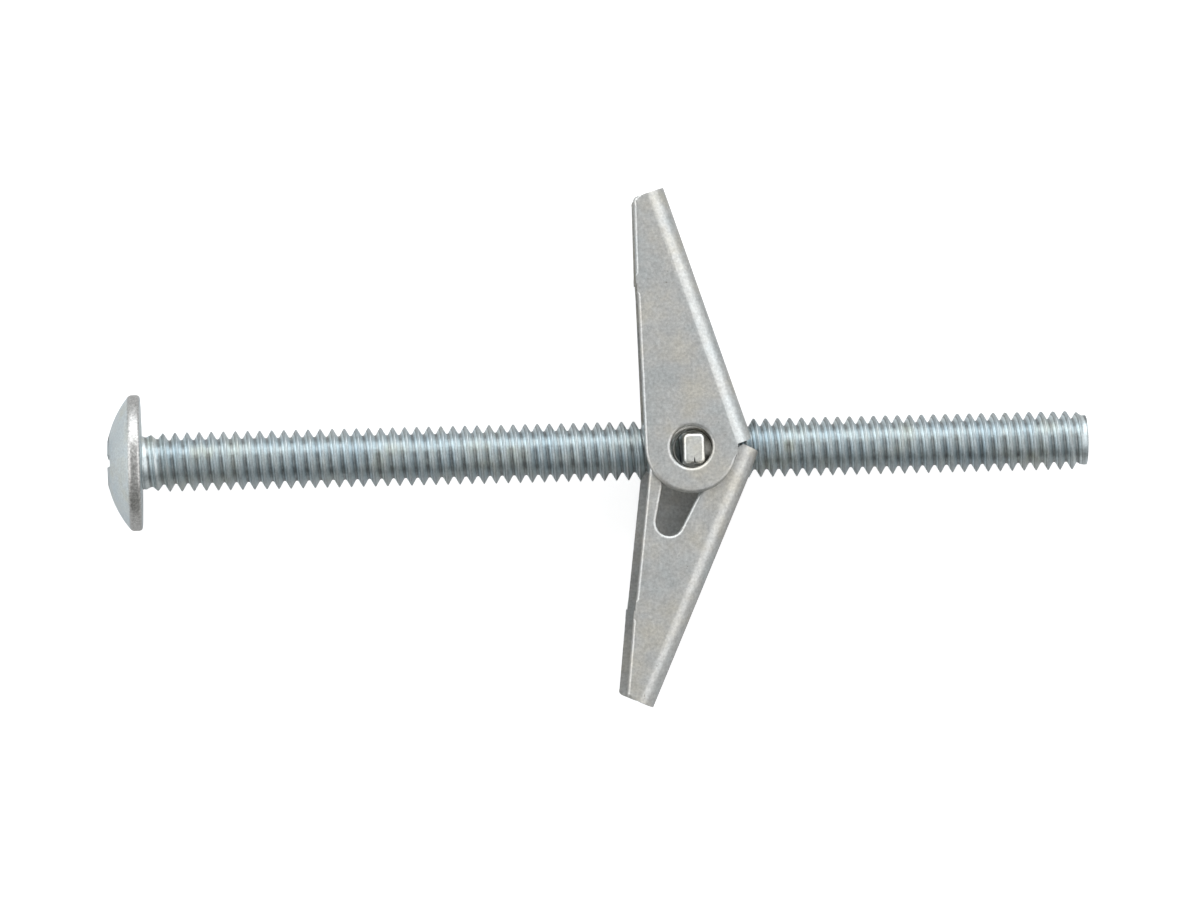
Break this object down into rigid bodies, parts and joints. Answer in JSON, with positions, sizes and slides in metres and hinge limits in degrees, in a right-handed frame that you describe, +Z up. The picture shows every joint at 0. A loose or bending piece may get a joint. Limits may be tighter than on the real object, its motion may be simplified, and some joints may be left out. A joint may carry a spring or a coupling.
{
  "type": "spring toggle bolt",
  "caption": "Mushroom head machine screw with a pair of spring-loaded sheet metal wings on a trunnion nut, for fixing to a hollow wall; lies on its side with its wings open.",
  "frame": {"origin": "on the screw's axis, at the bearing face under its head", "axes": "+X along the screw from its head towards its tip, within 1.3 degrees; +Z up, square to the surface that the bolt lies on; +Y towards the tip of wing_a"},
  "size_m": [0.1033, 0.0548, 0.0143],
  "materials": {
    "screw_zinc": "bright zinc plated steel",
    "nut_zinc": "zinc plated steel",
    "wing_zinc": "satin zinc plated sheet steel",
    "spring_steel": "plated spring wire"
  },
  "bodies": {
    "screw": {"machine_screw": "screw_zinc"},
    "nut": {"trunnion_nut": "nut_zinc", "spring": "spring_steel"},
    "wing_a": {"wing_a": "wing_zinc"},
    "wing_b": {"wing_b": "wing_zinc"}
  },
  "joints": [
    {"name": "nut_travel", "type": "slide", "parent": "screw", "child": "nut", "axis": [0.9998, 0, -0.0211], "range_m": [-0.02794, 0.03556]},
    {"name": "wing_a_hinge", "type": "hinge", "parent": "nut", "child": "wing_a", "pos_m": [0.05755, 0.00019, -0.00122], "axis": [0.0211, 0.0432, 0.9988], "range_deg": [0, 76], "stiffness_Nm_per_rad": 0.01, "springref_deg": -29.79, "deforming": ["spring"]},
    {"name": "wing_b_hinge", "type": "hinge", "parent": "nut", "child": "wing_b", "pos_m": [0.05799, -0.00015, -0.00122], "axis": [-0.0211, -0.0432, -0.9988], "range_deg": [0, 70], "stiffness_Nm_per_rad": 0.01, "springref_deg": -29.79}
  ]
}
